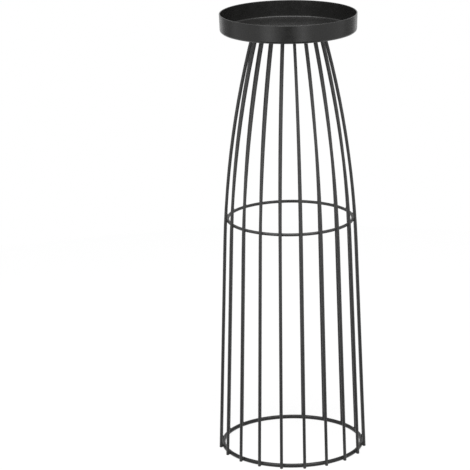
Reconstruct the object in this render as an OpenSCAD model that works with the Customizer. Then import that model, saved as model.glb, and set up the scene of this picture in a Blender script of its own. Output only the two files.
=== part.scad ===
// Wire-cage candle holder: a pressed round tray on a bell-shaped cage of round wires.
// The cage is a weldment: wires, straight below and bent above, stand round three rings
// and carry the tray. Millimetres, +Z up, -Y to the front.
// The origin is on the table, at the middle of the cage.

/* [Overall] */
// Height from the table to the rim of the tray
total_h = 495; // [440:1:560]

/* [Tray] */
// Outer diameter of the tray at its rim
tray_d = 150; // [120:1:200]
// Height of the tray, from its underside to its rim
tray_h = 20; // [14:0.5:30]
// Sheet thickness of the tray
tray_t = 1.2; // [0.8:0.1:2]
// Outward slope of the tray's wall, in degrees from upright
tray_draft = 2; // [0:0.5:5]
// Outside radius of the pressed corner between floor and wall
tray_corner_r = 3; // [2.2:0.1:5]

/* [Cage wires] */
// Number of wires
wire_count = 20; // [12:1:30]
// Diameter of the wires
wire_d = 3.4; // [2:0.1:4]
// How far the straight part leans inwards, in degrees from upright
wire_lean = 2; // [0.5:0.25:2.5]
// Height at which the straight part ends and the long bend begins
bend_z = 240; // [180:5:260]
// Distance from the axis to the middle of each wire where it meets the tray
wire_top_r = 38; // [30:0.5:44]
// Chamfer at the cut foot of each wire
foot_chamfer = 0.4; // [0.2:0.1:0.6]

/* [Rings] */
// Centre-line diameter of the base ring
base_ring_d = 156; // [140:1:180]
// Rod diameter of the base ring
base_rod_d = 4.5; // [3:0.1:6]
// Height of the middle ring above the table
middle_ring_z = 265; // [200:1:320]
// Rod diameter of the middle ring
middle_rod_d = 3.4; // [2:0.1:4]
// Rod diameter of the top ring, under the tray
top_rod_d = 3.4; // [2:0.1:4]

/* [Welds] */
// How far each wire sinks into a ring where they are welded
weld_sink = 0.2; // [0.1:0.05:0.3]

/* [Finish] */
// Colour of the powder coat
coat_color = "#3a3a3b";

/* [Hidden] */
// Two figures in each name keep the wires in order
function wire_name(i) = str("wire_", i < 9 ? "0" : "", i + 1);

// Facets of a full turn: of a ring or the tray, of a wire's long bend, and of a round section
round_fn = 120;
bend_fn = 720;
section_fn = 32;
// How far a cut, or what it trims, runs past the finished face
cut_over = 5;

wire_r = wire_d / 2;
wire_pitch = 360 / wire_count;
tray_z = total_h - tray_h;
base_ring_z = base_rod_d / 2;
top_ring_z = tray_z - top_rod_d / 2;

// The middle line of a wire lies in an upright plane through the axis. Its points are
// [distance from the axis, height]. The straight part touches the base ring from outside.
foot_r = base_ring_d / 2 + base_ring_z * tan(wire_lean)
    + (base_rod_d / 2 + wire_r - weld_sink) / cos(wire_lean);
bend_start = [foot_r - bend_z * tan(wire_lean), bend_z];
// The bend carries on smoothly from the straight part and ends in the middle of its seat
// under the tray, which together give its radius
inward = [-cos(wire_lean), -sin(wire_lean)];
bend_chord = [wire_top_r, tray_z] - bend_start;
bend_r = (bend_chord * bend_chord) / (2 * (bend_chord * inward));
bend_centre = bend_start + bend_r * inward;

// Slope of a wire at height z, in degrees from upright
function slope_at(z) = z < bend_z ? wire_lean : asin((z - bend_centre[1]) / bend_r);

// Distance from the axis to the middle of a wire at height z
function wire_r_at(z) = z < bend_z
    ? foot_r - z * tan(wire_lean)
    : bend_centre[0] + bend_r * cos(slope_at(z));

// Centre-line radius of a ring of rod_d that touches the wires from inside at height z
function ring_r_at(z, rod_d) =
    wire_r_at(z) - (rod_d / 2 + wire_r - weld_sink) / cos(slope_at(z));

// A closed ring of round rod
module rod_ring(centre_r, rod_d, z) {
    color(coat_color)
        translate([0, 0, z])
            rotate_extrude($fn = round_fn)
                translate([centre_r, 0])
                    circle(d = rod_d, $fn = section_fn);
}

// Half section of the pressed corner, about the corner's own centre
module tray_corner_section() {
    reach = 2 * tray_corner_r;
    intersection() {
        difference() {
            circle(r = tray_corner_r, $fn = round_fn);
            circle(r = tray_corner_r - tray_t, $fn = round_fn);
        }
        polygon([[0, 0], [0, -reach], [reach, -reach], [reach, -reach * tan(tray_draft)]]);
    }
}

// Half section of the wall with its rounded rim, standing on the height of the corner's centre
module tray_wall_section(wall_l) {
    translate([tray_corner_r - tray_t, 0])
        square([tray_t, wall_l]);
    translate([tray_corner_r - tray_t / 2, wall_l])
        intersection() {
            circle(d = tray_t, $fn = section_fn);
            translate([-tray_t, 0])
                square([2 * tray_t, tray_t]);
        }
}

// One sheet thickness all over: flat floor, pressed corner, drafted wall, rounded rim
module tray() {
    mid_corner_r = tray_corner_r - tray_t / 2;
    wall_rise = tray_h - tray_t / 2 - tray_corner_r;
    wall_l = (wall_rise + mid_corner_r * sin(tray_draft)) / cos(tray_draft);
    corner_x = tray_d / 2 - tray_t / 2 - mid_corner_r * cos(tray_draft)
        - wall_l * sin(tray_draft);
    color(coat_color)
        translate([0, 0, tray_z])
            rotate_extrude($fn = round_fn) {
                square([corner_x, tray_t]);
                translate([corner_x, tray_corner_r]) {
                    tray_corner_section();
                    rotate(-tray_draft)
                        tray_wall_section(wall_l);
                }
            }
}

module top_ring() {
    rod_ring(ring_r_at(top_ring_z, top_rod_d), top_rod_d, top_ring_z);
}

module middle_ring() {
    rod_ring(ring_r_at(middle_ring_z, middle_rod_d), middle_rod_d, middle_ring_z);
}

module base_ring() {
    rod_ring(base_ring_d / 2, base_rod_d, base_ring_z);
}

// The straight part, down from the start of the bend to a chamfered foot under the table
module wire_straight() {
    straight_l = bend_z / cos(wire_lean) + wire_r * sin(wire_lean) - foot_chamfer;
    mirror([0, 0, 1]) {
        cylinder(h = straight_l, r = wire_r, $fn = section_fn);
        translate([0, 0, straight_l])
            cylinder(h = foot_chamfer, r1 = wire_r, r2 = wire_r - foot_chamfer, $fn = section_fn);
    }
}

// The long bend, from the end of the straight part to just past the tray's underside
module wire_bend() {
    over_turn = cut_over / bend_r * 180 / PI;
    translate([-bend_r, 0, 0])
        rotate([90, 0, 0])
            rotate_extrude(angle = slope_at(tray_z) - wire_lean + over_turn, $fn = bend_fn)
                translate([bend_r, 0])
                    circle(r = wire_r, $fn = section_fn);
}

// One wire, cut level on the table and under the tray. A gap between two wires faces front.
module cage_wire(i) {
    slab_r = foot_r + cut_over;
    color(coat_color)
        rotate([0, 0, (i + 0.5) * wire_pitch - 90])
            intersection() {
                translate([bend_start[0], 0, bend_start[1]])
                    rotate([0, -wire_lean, 0]) {
                        wire_straight();
                        wire_bend();
                    }
                translate([0, -slab_r, 0])
                    cube([slab_r, 2 * slab_r, tray_z]);
            }
}

tray();
top_ring();
middle_ring();
base_ring();
for (i = [0 : wire_count - 1]) {
    cage_wire(i);
}
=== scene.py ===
"""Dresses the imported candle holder: black powder coat, weld beads, studio floor, light and camera.

The stand is a pressed round tray on a cage of twenty wires and three rings. The frame brings all
of them at their real size. This script gives them their finish, models the tray again with finer
faces, adds the weld beads where wires and rings cross, and sets the stand in a plain white studio.
Metres, +Z up, -Y to the front.
"""

import logging
import math
from dataclasses import dataclass, field
from enum import Enum
from typing import ClassVar

import bpy
from mathutils import Matrix, Vector


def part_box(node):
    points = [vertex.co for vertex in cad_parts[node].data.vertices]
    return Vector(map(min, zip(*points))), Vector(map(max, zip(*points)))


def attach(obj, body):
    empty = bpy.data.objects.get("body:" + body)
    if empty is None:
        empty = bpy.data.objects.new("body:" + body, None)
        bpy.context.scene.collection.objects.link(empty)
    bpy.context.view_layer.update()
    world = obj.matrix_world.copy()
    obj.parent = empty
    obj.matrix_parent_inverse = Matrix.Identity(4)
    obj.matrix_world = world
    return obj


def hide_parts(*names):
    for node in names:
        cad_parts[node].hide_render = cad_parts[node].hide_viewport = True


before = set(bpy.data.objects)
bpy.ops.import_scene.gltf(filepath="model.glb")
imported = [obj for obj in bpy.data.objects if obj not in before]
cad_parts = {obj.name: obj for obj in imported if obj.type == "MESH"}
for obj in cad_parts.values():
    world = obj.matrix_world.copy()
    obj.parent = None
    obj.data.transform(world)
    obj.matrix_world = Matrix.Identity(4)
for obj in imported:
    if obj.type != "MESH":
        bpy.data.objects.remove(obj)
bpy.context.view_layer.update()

log = logging.getLogger("candle_holder")

MM = 0.001
Colour = tuple[float, float, float]
WHITE: Colour = (1.0, 1.0, 1.0)


def material_nodes(name: str) -> tuple[bpy.types.Material, bpy.types.NodeTree]:
    """Starts a node material with nothing in it.

    Args:
        name: The material's name.

    Returns:
        The material and its empty node tree.
    """
    material = bpy.data.materials.new(name)
    material.use_nodes = True
    tree = material.node_tree
    tree.nodes.clear()
    return material, tree


def opaque(colour: Colour) -> tuple[float, float, float, float]:
    """Gives a colour its full alpha."""
    return (*colour, 1.0)


def turn_about(axis: str, angle: float) -> Matrix:
    """Gives the 4 by 4 matrix of a turn about an axis, in radians."""
    return Matrix.Rotation(angle, 4, axis)


def background_ray(tree: bpy.types.NodeTree) -> bpy.types.NodeSocket:
    """Tells the rays that see the white background: the camera's, and those in gloss and glass.

    Args:
        tree: The node tree that asks.

    Returns:
        A value that is 1 for those rays and 0 for the light.
    """
    path = tree.nodes.new("ShaderNodeLightPath")
    ray = path.outputs["Is Camera Ray"]
    for kind in ("Is Glossy Ray", "Is Transmission Ray"):
        either = tree.nodes.new("ShaderNodeMath")
        either.operation = "MAXIMUM"
        tree.links.new(ray, either.inputs[0])
        tree.links.new(path.outputs[kind], either.inputs[1])
        ray = either.outputs["Value"]
    return ray


@dataclass(frozen=True)
class PowderCoat:
    """A satin black powder coat over steel.

    The coat is a little cloudy in colour, uneven in gloss, and has the orange peel that powder
    leaves as it flows out in the oven, with a finer grain on top.

    Attributes:
        name: The material's name.
        deep: The colour of its darkest clouds.
        pale: The colour of its palest clouds.
        cloud_mm: The size of the clouds.
        gloss_patch_mm: The size of the patches of even gloss.
        smooth: The roughness of the glossiest patches.
        dull: The roughness of the dullest patches.
        peel_mm: The size of the orange peel.
        peel_depth_mm: Its depth.
        grain_mm: The size of the grain.
        grain_depth_mm: Its depth.
        ior: The refractive index of the coat.
    """

    name: str
    deep: Colour = (0.0099, 0.0097, 0.0094)
    pale: Colour = (0.0145, 0.0144, 0.0139)
    cloud_mm: float = 22.0
    gloss_patch_mm: float = 6.0
    smooth: float = 0.24
    dull: float = 0.32
    peel_mm: float = 1.3
    peel_depth_mm: float = 0.03
    grain_mm: float = 0.28
    grain_depth_mm: float = 0.02
    ior: float = 1.4

    CLOUD_LAYERS: ClassVar[float] = 3.0
    PATCH_LAYERS: ClassVar[float] = 2.0
    PEEL_LAYERS: ClassVar[float] = 2.0
    GRAIN_LAYERS: ClassVar[float] = 1.0
    PATCH_LOW: ClassVar[float] = 0.3
    PATCH_HIGH: ClassVar[float] = 0.7

    def build(self) -> bpy.types.Material:
        """Makes the material.

        Returns:
            A node material that reads Object coordinates.
        """
        material, tree = material_nodes(self.name)
        out = tree.nodes.new("ShaderNodeOutputMaterial")
        shader = tree.nodes.new("ShaderNodeBsdfPrincipled")
        shader.inputs["IOR"].default_value = self.ior
        tree.links.new(shader.outputs["BSDF"], out.inputs["Surface"])
        place = tree.nodes.new("ShaderNodeTexCoord").outputs["Object"]

        cloud = self._noise(tree, place, self.cloud_mm, self.CLOUD_LAYERS)
        tint = tree.nodes.new("ShaderNodeMix")
        tint.data_type = "RGBA"
        tint.inputs["A"].default_value = opaque(self.deep)
        tint.inputs["B"].default_value = opaque(self.pale)
        tree.links.new(cloud, tint.inputs["Factor"])
        tree.links.new(tint.outputs["Result"], shader.inputs["Base Color"])

        patch = self._noise(tree, place, self.gloss_patch_mm, self.PATCH_LAYERS)
        gloss = tree.nodes.new("ShaderNodeMapRange")
        gloss.inputs["From Min"].default_value = self.PATCH_LOW
        gloss.inputs["From Max"].default_value = self.PATCH_HIGH
        gloss.inputs["To Min"].default_value = self.smooth
        gloss.inputs["To Max"].default_value = self.dull
        tree.links.new(patch, gloss.inputs["Value"])
        tree.links.new(gloss.outputs["Result"], shader.inputs["Roughness"])

        peel_height = self._noise(tree, place, self.peel_mm, self.PEEL_LAYERS)
        peel = self._bump(tree, peel_height, self.peel_depth_mm)
        grain_height = self._noise(tree, place, self.grain_mm, self.GRAIN_LAYERS)
        grain = self._bump(tree, grain_height, self.grain_depth_mm)
        tree.links.new(peel.outputs["Normal"], grain.inputs["Normal"])
        tree.links.new(grain.outputs["Normal"], shader.inputs["Normal"])
        return material

    @staticmethod
    def _noise(
        tree: bpy.types.NodeTree, place: bpy.types.NodeSocket, blotch_mm: float, layers: float
    ) -> bpy.types.NodeSocket:
        """Adds a noise whose blotches are about a given size.

        Args:
            tree: The tree that it goes into.
            place: The coordinates that it reads, in metres.
            blotch_mm: The size of its blotches.
            layers: How many finer layers it holds.

        Returns:
            The noise's value.
        """
        noise = tree.nodes.new("ShaderNodeTexNoise")
        noise.inputs["Scale"].default_value = 1.0 / (blotch_mm * MM)
        noise.inputs["Detail"].default_value = layers
        tree.links.new(place, noise.inputs["Vector"])
        return noise.outputs["Fac"]

    @staticmethod
    def _bump(
        tree: bpy.types.NodeTree, height: bpy.types.NodeSocket, depth_mm: float
    ) -> bpy.types.Node:
        """Adds a bump of a given depth.

        Args:
            tree: The tree that it goes into.
            height: The value that it takes as its height.
            depth_mm: How deep the relief is.

        Returns:
            The bump node.
        """
        bump = tree.nodes.new("ShaderNodeBump")
        bump.inputs["Strength"].default_value = 1.0
        bump.inputs["Distance"].default_value = depth_mm * MM
        tree.links.new(height, bump.inputs["Height"])
        return bump


def coat_on_rod(name: str, deep: Colour, pale: Colour) -> PowderCoat:
    """Gives the coat as it lies on thin round rod: duller, with smaller clouds and peel.

    Args:
        name: The material's name.
        deep: The colour of its darkest clouds.
        pale: The colour of its palest clouds.

    Returns:
        The coat.
    """
    return PowderCoat(
        name,
        deep=deep,
        pale=pale,
        cloud_mm=9.0,
        gloss_patch_mm=4.0,
        smooth=0.32,
        dull=0.40,
        peel_mm=0.9,
    )


class Finish(Enum):
    """The coats of the stand: one powder, which lies differently on sheet, wire, rod and weld.

    Its copy on the wires and upper rings is lighter, a painted sheen; its copy on the base ring
    is darker, a painted shade.
    """

    SHEET = PowderCoat("powder_coat_sheet")
    # About three times as light as the sheet's coat: a painted sheen for the highlights that thin
    # wires and rings catch.
    WIRE = coat_on_rod(
        "powder_coat_wire", deep=(0.0290, 0.0289, 0.0284), pale=(0.0435, 0.0432, 0.0428)
    )
    # Darker than the sheet's coat: a painted shade, where the base ring sits low by the floor.
    BASE = coat_on_rod(
        "powder_coat_base_painted_shade", deep=(0.0055, 0.0054, 0.0053), pale=(0.0080, 0.0079, 0.0077)
    )
    WELD = PowderCoat("powder_coat_weld", cloud_mm=1.5, smooth=0.40, dull=0.55, peel_mm=0.5)

    def material(self) -> bpy.types.Material:
        """Gives the finish's material, made at its first use."""
        return bpy.data.materials.get(self.value.name) or self.value.build()


def coat(piece: bpy.types.Object, finish: Finish) -> None:
    """Puts one finish on a whole piece, in place of any other."""
    piece.data.materials.clear()
    piece.data.materials.append(finish.material())


def select_only(*pieces: bpy.types.Object) -> None:
    """Selects these pieces alone and makes the first one active.

    Args:
        pieces: The mesh objects.
    """
    bpy.ops.object.select_all(action="DESELECT")
    for piece in pieces:
        piece.select_set(True)
    bpy.context.view_layer.objects.active = pieces[0]


def pick_ring(piece: bpy.types.Object, height: float, radius: float) -> None:
    """Selects the ring of vertices at a height and distance from the axis, and its edges.

    It starts and ends in edit mode.

    Args:
        piece: The mesh object in edit mode.
        height: The ring's height.
        radius: The ring's radius.
    """
    near = 0.05 * MM
    bpy.ops.mesh.select_mode(type="VERT")
    bpy.ops.mesh.select_all(action="DESELECT")
    bpy.ops.object.mode_set(mode="OBJECT")
    for vertex in piece.data.vertices:
        place = vertex.co
        vertex.select = abs(place.z - height) < near and abs(place.xy.length - radius) < near
    bpy.ops.object.mode_set(mode="EDIT")
    bpy.ops.mesh.select_mode(type="EDGE")


@dataclass
class Tray:
    """The pressed tray that the candle stands in.

    Attributes:
        node: The node that it stands for.
        sheet: The thickness of its sheet.
        draft: How far its wall leans outwards, in radians from upright.
        corner: The outside radius between floor and wall.
        rim_share: How much of the sheet each rounded edge of the rim takes.
        sides: How many faces run round it.
        corner_rows: How many rows of faces round the corner.
        rim_rows: How many rows of faces round each edge of the rim.
        name: The piece's name.
    """

    node: str = "tray"
    sheet: float = 1.2 * MM
    draft: float = math.radians(2.0)
    corner: float = 3.0 * MM
    rim_share: float = 0.49
    sides: int = 192
    corner_rows: int = 10
    rim_rows: int = 6
    name: str = "pressed_tray"

    ARC_PROFILE: ClassVar[float] = 0.5
    AREA_WEIGHT: ClassVar[int] = 100

    def model(self) -> bpy.types.Object:
        """Models the tray: a drafted drum, hollowed to one sheet, its edges rounded.

        Returns:
            The tray, in the place of its node.
        """
        low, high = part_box(self.node)
        height = high.z - low.z
        rise = math.tan(self.draft)
        wall = self.sheet / math.cos(self.draft)
        mouth_r = high.x + self.sheet / 2 * rise
        foot_r = mouth_r - height * rise
        floor_z = low.z + self.sheet
        floor_r = mouth_r - wall - (height - self.sheet) * rise

        bpy.ops.object.select_all(action="DESELECT")
        bpy.ops.mesh.primitive_cylinder_add(
            vertices=self.sides,
            radius=foot_r,
            depth=height,
            location=(0, 0, (low.z + high.z) / 2),
        )
        tray = bpy.context.active_object
        tray.name = self.name
        bpy.ops.object.transform_apply(location=True, rotation=True, scale=True)
        bpy.ops.object.mode_set(mode="EDIT")
        pick_ring(tray, high.z, foot_r)
        bpy.ops.transform.resize(value=(mouth_r / foot_r, mouth_r / foot_r, 1.0))
        bpy.ops.mesh.select_mode(type="FACE")
        bpy.ops.mesh.inset(thickness=wall)
        bpy.ops.mesh.extrude_region_move(
            TRANSFORM_OT_translate={"value": (0, 0, floor_z - high.z)}
        )
        inner_r = mouth_r - wall
        bpy.ops.transform.resize(value=(floor_r / inner_r, floor_r / inner_r, 1.0))

        # An arc of radius r starts r / tan(half the angle between two faces) from their edge
        half_corner = math.tan((math.pi / 2 + self.draft) / 2)
        outside = self.corner / half_corner
        inside = (self.corner - self.sheet) / half_corner
        rim = self.rim_share * self.sheet
        self._round(tray, low.z, foot_r, outside, self.corner_rows)
        self._round(tray, floor_z, floor_r, inside, self.corner_rows)
        self._round(tray, high.z, mouth_r, rim, self.rim_rows)
        self._round(tray, high.z, inner_r, rim, self.rim_rows)
        bpy.ops.mesh.select_all(action="SELECT")
        bpy.ops.mesh.normals_make_consistent(inside=False)
        bpy.ops.object.mode_set(mode="OBJECT")
        bpy.ops.object.shade_smooth()
        even = tray.modifiers.new("even_shading", "WEIGHTED_NORMAL")
        even.weight = self.AREA_WEIGHT
        bpy.ops.object.modifier_apply(modifier=even.name)
        return tray

    def _round(
        self, tray: bpy.types.Object, height: float, radius: float, reach: float, rows: int
    ) -> None:
        """Rounds the tray's edge at a height and radius. It starts a reach away from the edge."""
        pick_ring(tray, height, radius)
        bpy.ops.mesh.bevel(offset=reach, segments=rows, profile=self.ARC_PROFILE, affect="EDGES")

    def build(self) -> bpy.types.Object:
        """Models the tray, coats it and puts it in its node's place.

        Returns:
            The tray.
        """
        tray = self.model()
        coat(tray, Finish.SHEET)
        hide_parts(self.node)
        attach(tray, "root")
        log.info("%s: %d faces", tray.name, len(tray.data.polygons))
        return tray


class RingPlace(Enum):
    """The cage's rings, by node."""

    TOP = "top_ring"
    MIDDLE = "middle_ring"
    BASE = "base_ring"


@dataclass
class WeldBead:
    """One small bead in the crook of two crossing rods.

    Attributes:
        along_ring: Half its size along the ring.
        along_wire: Half its size along the wire.
        outward: Half its size outwards.
        unevenness: How far its surface strays.
        sides: How many faces run round the plain bead.
        rows: How many rows of faces it has.
    """

    along_ring: float = 2.8 * MM
    along_wire: float = 2.0 * MM
    outward: float = 1.2 * MM
    unevenness: float = 0.2 * MM
    sides: int = 10
    rows: int = 6

    def model(self) -> bpy.types.Object:
        """Models the plain bead at the origin: X along the ring, Y outward, Z along the wire.

        Returns:
            The plain bead.
        """
        bpy.ops.object.select_all(action="DESELECT")
        bpy.ops.mesh.primitive_uv_sphere_add(segments=self.sides, ring_count=self.rows, radius=1.0)
        bead = bpy.context.active_object
        bead.name = "plain_bead"
        bpy.ops.object.mode_set(mode="EDIT")
        bpy.ops.mesh.select_all(action="SELECT")
        bpy.ops.transform.resize(value=(self.along_ring, self.outward, self.along_wire))
        bpy.ops.object.mode_set(mode="OBJECT")
        return bead

    def run(self, plain: bpy.types.Object, name: str, seed: int) -> bpy.types.Object:
        """Copies the plain bead with a mesh of its own and lets the copy flow unevenly.

        Args:
            plain: The plain bead.
            name: The copy's name.
            seed: Which unevenness it gets.

        Returns:
            The copy.
        """
        bead = plain.copy()
        bead.data = plain.data.copy()
        bead.name = name
        bpy.context.scene.collection.objects.link(bead)
        select_only(bead)
        bpy.ops.object.mode_set(mode="EDIT")
        bpy.ops.mesh.select_all(action="SELECT")
        bpy.ops.transform.vertex_random(offset=self.unevenness, seed=seed)
        bpy.ops.object.mode_set(mode="OBJECT")
        soften = bead.modifiers.new("soften", "SUBSURF")
        soften.levels = 1
        soften.render_levels = 1
        bpy.ops.object.modifier_apply(modifier=soften.name)
        bpy.ops.object.shade_smooth()
        return bead


@dataclass
class Cage:
    """The welded cage: wires that stand round three rings.

    Attributes:
        weld_sink: How far a wire sinks into a ring.
        wire_lean: How far the wires' straight part leans inwards, in radians from upright.
        bend_z: The height at which their long bend starts.
        bend_r: The radius of that bend.
        bead: The bead at each crossing.
    """

    weld_sink: float = 0.2 * MM
    wire_lean: float = math.radians(2.0)
    bend_z: float = 240.0 * MM
    bend_r: float = 1037.2 * MM
    bead: WeldBead = field(default_factory=WeldBead)

    def wires(self) -> list[str]:
        """Names the wires, in order round the cage."""
        return sorted(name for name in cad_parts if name.startswith("wire_"))

    def slope_at(self, z: float) -> float:
        """Gives a wire's slope.

        Args:
            z: The height.

        Returns:
            The angle from upright, in radians.
        """
        if z < self.bend_z:
            return self.wire_lean
        return math.asin(math.sin(self.wire_lean) + (z - self.bend_z) / self.bend_r)

    def azimuth(self, index: int) -> float:
        """Gives the turn of a wire about +Z, from +X, in radians."""
        return math.tau * (index + 0.5) / len(self.wires()) - math.pi / 2

    def weld_ring(self, ring: RingPlace) -> bpy.types.Object:
        """Models the beads of one ring as one piece.

        Args:
            ring: The ring.

        Returns:
            The beads.
        """
        low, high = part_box(ring.value)
        rod_r = (high.z - low.z) / 2
        mid_r = high.x - rod_r
        mid_z = (high.z + low.z) / 2
        slope = self.slope_at(mid_z)
        reach = rod_r - self.weld_sink / 2
        seat = Matrix.Translation(
            (0, mid_r + reach * math.cos(slope), mid_z + reach * math.sin(slope))
        )
        tilt = turn_about("X", slope)
        plain = self.bead.model()
        beads = []
        for index in range(len(self.wires())):
            bead = self.bead.run(plain, f"{ring.value}_weld_{index + 1:02d}", seed=index)
            turn = turn_about("Z", self.azimuth(index) - math.pi / 2)
            bead.data.transform(turn @ seat @ tilt)
            beads.append(bead)
        bpy.data.objects.remove(plain)
        select_only(*beads)
        bpy.ops.object.join()
        welds = bpy.context.active_object
        welds.name = f"{ring.value}_welds"
        coat(welds, Finish.WELD)
        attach(welds, "root")
        log.info("%s: %d beads", welds.name, len(beads))
        return welds

    def dress(self) -> None:
        """Coats rings and wires, and adds the beads of every ring."""
        for name in [ring.value for ring in RingPlace] + self.wires():
            # The base ring gets the darker copy, a painted shade; the wires and upper rings get the
            # lighter copy, a painted sheen.
            finish = Finish.BASE if name == RingPlace.BASE.value else Finish.WIRE
            coat(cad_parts[name], finish)
            log.info("%s: coated", name)
        for ring in RingPlace:
            self.weld_ring(ring)


def from_front(turn: float, distance: float, height: float) -> tuple[float, float, float]:
    """Finds a place by its turn from the front, to the right, in radians."""
    return (distance * math.sin(turn), -distance * math.cos(turn), height)


@dataclass(frozen=True)
class SoftBox:
    """One soft box, aimed at the stand.

    Attributes:
        name: Its name.
        turn: Its turn from the front, to the right, in degrees.
        distance: How far it hangs from the stand's axis.
        height: How high it hangs.
        width: Its width.
        length: Its length.
        glow: How bright its face is, where 1 is white.
    """

    name: str
    turn: float
    distance: float
    height: float
    width: float
    length: float
    glow: float

    def hang(self, aim: Vector) -> bpy.types.Object:
        """Hangs the box.

        Args:
            aim: The point that it faces.

        Returns:
            The lamp.
        """
        lamp = bpy.data.lights.new(self.name, "AREA")
        lamp.shape = "RECTANGLE"
        lamp.size = self.width
        lamp.size_y = self.length
        # A face shines as white does at a power of pi times its area
        lamp.energy = self.glow * math.pi * self.width * self.length
        holder = bpy.data.objects.new(self.name, lamp)
        bpy.context.scene.collection.objects.link(holder)
        holder.location = from_front(math.radians(self.turn), self.distance, self.height)
        holder.rotation_euler = (aim - holder.location).to_track_quat("-Z", "Y").to_euler()
        holder.visible_camera = False
        log.info("%s: glow %.2f", self.name, self.glow)
        return holder


@dataclass(frozen=True)
class DarkCard:
    """One dark card, upright and facing the stand, or flat. Only reflections see it.

    Attributes:
        name: Its name.
        turn: Its turn from the front, to the right, in degrees.
        distance: How far its middle is from the stand's axis.
        height: The height of its middle.
        width: Its width.
        length: Its length, which is its height where it stands.
        shade: How bright it is, where 1 is white.
        flat: Whether it lies on the floor.
    """

    name: str
    turn: float
    distance: float
    height: float
    width: float
    length: float
    shade: float
    flat: bool = False

    def stand(self) -> bpy.types.Object:
        """Stands or lays the card in its place.

        Returns:
            The card.
        """
        turn = math.radians(self.turn)
        tilt = 0.0 if self.flat else math.pi / 2
        bpy.ops.object.select_all(action="DESELECT")
        bpy.ops.mesh.primitive_plane_add(
            size=1.0,
            location=from_front(turn, self.distance, self.height),
            rotation=(tilt, 0, turn),
        )
        card = bpy.context.active_object
        card.name = self.name
        card.scale = (self.width, self.length, 1.0)
        bpy.ops.object.transform_apply(location=True, rotation=True, scale=True)
        card.data.materials.append(self._cloth())
        card.visible_camera = False
        card.visible_diffuse = False
        card.visible_shadow = False
        log.info("%s: %.2f m wide", self.name, self.width)
        return card

    def _cloth(self) -> bpy.types.Material:
        """Makes the card's cloth, which has one even shade.

        Returns:
            The material.
        """
        material, tree = material_nodes(f"{self.name}_cloth")
        out = tree.nodes.new("ShaderNodeOutputMaterial")
        cloth = tree.nodes.new("ShaderNodeEmission")
        cloth.inputs["Strength"].default_value = self.shade
        tree.links.new(cloth.outputs["Emission"], out.inputs["Surface"])
        return material


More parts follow.
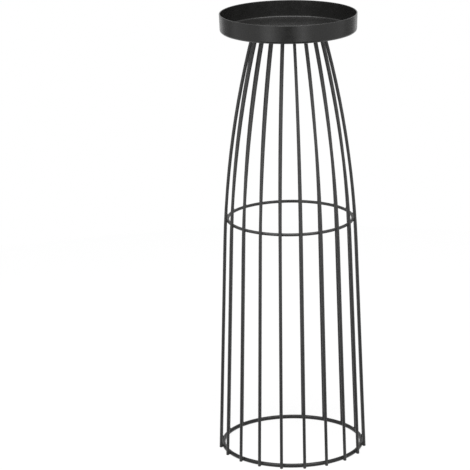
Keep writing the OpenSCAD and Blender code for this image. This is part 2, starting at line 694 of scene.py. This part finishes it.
@dataclass
class Studio:
    """A white studio: a pale floor, soft boxes in front and overhead, and a white surround.

    Dark cards shape what the glossy coat reflects.

    Attributes:
        aim: The height that the soft boxes face.
        floor_r: The floor's radius.
        floor_painted_shade_r: How far out the painted shade round the stand stays at its darkest.
        floor_painted_shade_near: The paint's colour near the stand, darkened as a painted shade.
        floor_far: The paint's shade at the floor's edge.
        floor_sides: How many sides the floor has.
        floor_shade: The colour in which camera and gloss see shadows on the floor.
        floor_glow: The even white that they see with it.
        surround_front: How much the surround lights from in front.
        surround_back: How much it lights from behind.
        boxes: The soft boxes.
        cards: The dark cards.
    """

    aim: float = 0.35
    floor_r: float = 0.9
    floor_painted_shade_r: float = 0.1
    floor_painted_shade_near: float = 0.2
    floor_far: float = 0.9
    floor_sides: int = 96
    floor_shade: Colour = (0.12, 0.12, 0.12)
    floor_glow: float = 0.892
    surround_front: float = 0.42
    surround_back: float = 0.155
    boxes: tuple[SoftBox, ...] = (
        SoftBox(
            "soft_box_left",
            turn=-33.0, distance=1.3, height=0.35, width=0.42, length=1.5, glow=1.25,
        ),
        SoftBox(
            "soft_box_right",
            turn=23.0, distance=1.3, height=0.35, width=0.32, length=1.5, glow=1.5,
        ),
        SoftBox(
            "soft_box_top",
            turn=0.0, distance=0.7, height=2.1, width=3.0, length=1.0, glow=6.2,
        ),
    )
    cards: tuple[DarkCard, ...] = (
        DarkCard(
            "front_card",
            turn=0.0, distance=1.25, height=0.035, width=0.48, length=0.77, shade=0.15,
        ),
        DarkCard(
            "left_card",
            turn=-122.0, distance=1.1, height=0.175, width=0.7, length=1.05, shade=0.4,
        ),
        DarkCard(
            "right_card",
            turn=122.0, distance=1.1, height=0.175, width=0.7, length=1.05, shade=0.4,
        ),
        # This card lies on the floor before the stand: a painted shade that only reflections see,
        # where the floor is shaded.
        DarkCard(
            "painted_shade_card",
            turn=0.0, distance=0.35, height=0.001, width=0.7, length=0.5, shade=0.15, flat=True,
        ),
    )

    FRONT_Y: ClassVar[float] = -1.0
    BACK_Y: ClassVar[float] = 1.0

    def floor(self) -> bpy.types.Object:
        """Lays the floor.

        Returns:
            The floor.
        """
        bpy.ops.object.select_all(action="DESELECT")
        bpy.ops.mesh.primitive_circle_add(
            vertices=self.floor_sides, radius=self.floor_r, fill_type="NGON"
        )
        floor = bpy.context.active_object
        floor.name = "floor"
        floor.data.materials.append(self._floor_paint())
        log.info("floor: %.1f m across", 2 * self.floor_r)
        return floor

    def _floor_paint(self) -> bpy.types.Material:
        """Makes the floor's paint, which camera and gloss see as white, with a faint shade.

        To the light it is pale far out and darker near the stand, a painted shade round its foot.

        Returns:
            The material.
        """
        material, tree = material_nodes("white_floor")
        out = tree.nodes.new("ShaderNodeOutputMaterial")
        paint = tree.nodes.new("ShaderNodeBsdfDiffuse")
        place = tree.nodes.new("ShaderNodeTexCoord")
        reach = tree.nodes.new("ShaderNodeVectorMath")
        reach.operation = "LENGTH"
        # The paint darkens towards the stand: a painted shade round its foot.
        painted_shade_fade = tree.nodes.new("ShaderNodeMapRange")
        painted_shade_fade.inputs["From Min"].default_value = self.floor_painted_shade_r
        painted_shade_fade.inputs["From Max"].default_value = self.floor_r
        painted_shade_fade.inputs["To Min"].default_value = self.floor_painted_shade_near
        painted_shade_fade.inputs["To Max"].default_value = self.floor_far
        tree.links.new(place.outputs["Object"], reach.inputs[0])
        tree.links.new(reach.outputs["Value"], painted_shade_fade.inputs["Value"])
        tree.links.new(painted_shade_fade.outputs["Result"], paint.inputs["Color"])
        shade = tree.nodes.new("ShaderNodeBsdfDiffuse")
        shade.inputs["Color"].default_value = opaque(self.floor_shade)
        glow = tree.nodes.new("ShaderNodeEmission")
        glow.inputs["Strength"].default_value = self.floor_glow
        seen = tree.nodes.new("ShaderNodeAddShader")
        tree.links.new(shade.outputs["BSDF"], seen.inputs[0])
        tree.links.new(glow.outputs["Emission"], seen.inputs[1])
        pick = tree.nodes.new("ShaderNodeMixShader")
        tree.links.new(background_ray(tree), pick.inputs["Fac"])
        tree.links.new(paint.outputs["BSDF"], pick.inputs[1])
        tree.links.new(seen.outputs["Shader"], pick.inputs[2])
        tree.links.new(pick.outputs["Shader"], out.inputs["Surface"])
        return material

    def world(self) -> None:
        """Makes the surround: pure white to camera and gloss, and as light brighter in front."""
        world = bpy.data.worlds.new("white_surround")
        bpy.context.scene.world = world
        world.use_nodes = True
        tree = world.node_tree
        tree.nodes.clear()
        out = tree.nodes.new("ShaderNodeOutputWorld")
        seen = tree.nodes.new("ShaderNodeBackground")
        light = tree.nodes.new("ShaderNodeBackground")
        for background in (seen, light):
            background.inputs["Color"].default_value = opaque(WHITE)
        place = tree.nodes.new("ShaderNodeTexCoord")
        parts = tree.nodes.new("ShaderNodeSeparateXYZ")
        level = tree.nodes.new("ShaderNodeMapRange")
        level.inputs["From Min"].default_value = self.FRONT_Y
        level.inputs["From Max"].default_value = self.BACK_Y
        level.inputs["To Min"].default_value = self.surround_front
        level.inputs["To Max"].default_value = self.surround_back
        tree.links.new(place.outputs["Generated"], parts.inputs["Vector"])
        tree.links.new(parts.outputs["Y"], level.inputs["Value"])
        tree.links.new(level.outputs["Result"], light.inputs["Strength"])
        pick = tree.nodes.new("ShaderNodeMixShader")
        tree.links.new(background_ray(tree), pick.inputs["Fac"])
        tree.links.new(light.outputs["Background"], pick.inputs[1])
        tree.links.new(seen.outputs["Background"], pick.inputs[2])
        tree.links.new(pick.outputs["Shader"], out.inputs["Surface"])
        log.info("surround: %.2f in front to %.2f behind", self.surround_front, self.surround_back)

    def build(self) -> None:
        """Builds the whole studio."""
        self.floor()
        self.world()
        for card in self.cards:
            card.stand()
        for box in self.boxes:
            box.hang(Vector((0, 0, self.aim)))


@dataclass
class ViewCamera:
    """The camera, far off and a little above, as the picture was taken.

    Attributes:
        distance: How far it stands from the stand's axis.
        height: How high it stands.
        azimuth: Its turn round the stand from the front, in radians.
        yaw: How far it looks past the axis, in radians.
        pitch: How far it looks down, in radians.
        roll: How far it leans to the side, in radians.
        picture_px: The picture's width.
        focal_px: The focal length, in the picture's pixels.
        sight: How far it sees.
    """

    distance: float = 2.5901
    height: float = 0.9901
    azimuth: float = math.radians(-0.3)
    yaw: float = -0.0237
    pitch: float = 0.2798
    roll: float = -0.0167
    picture_px: int = 470
    focal_px: float = 2430.9
    sight: float = 100.0

    def build(self) -> bpy.types.Object:
        """Sets up the camera and makes it the scene's own.

        Returns:
            The camera.
        """
        lens = bpy.data.cameras.new("camera")
        lens.sensor_fit = "HORIZONTAL"
        lens.angle = 2 * math.atan(self.picture_px / 2 / self.focal_px)
        lens.clip_end = self.sight
        camera = bpy.data.objects.new("camera", lens)
        bpy.context.scene.collection.objects.link(camera)
        place = turn_about("Z", self.azimuth) @ Vector((0, -self.distance, self.height))
        heading = turn_about("Z", self.azimuth - self.yaw)
        tip = turn_about("X", math.pi / 2 - self.pitch)
        lean = turn_about("Z", self.roll)
        camera.matrix_world = Matrix.Translation(place) @ heading @ tip @ lean
        bpy.context.scene.camera = camera
        log.info("camera: %.2f m away", self.distance)
        return camera


def main() -> None:
    """Builds the stand, then the studio round it."""
    logging.basicConfig(level=logging.INFO, format="%(name)s: %(message)s")
    bpy.context.scene.view_settings.view_transform = "Standard"
    ViewCamera().build()
    Tray().build()
    Cage().dress()
    Studio().build()


if __name__ == "__main__":
    main()
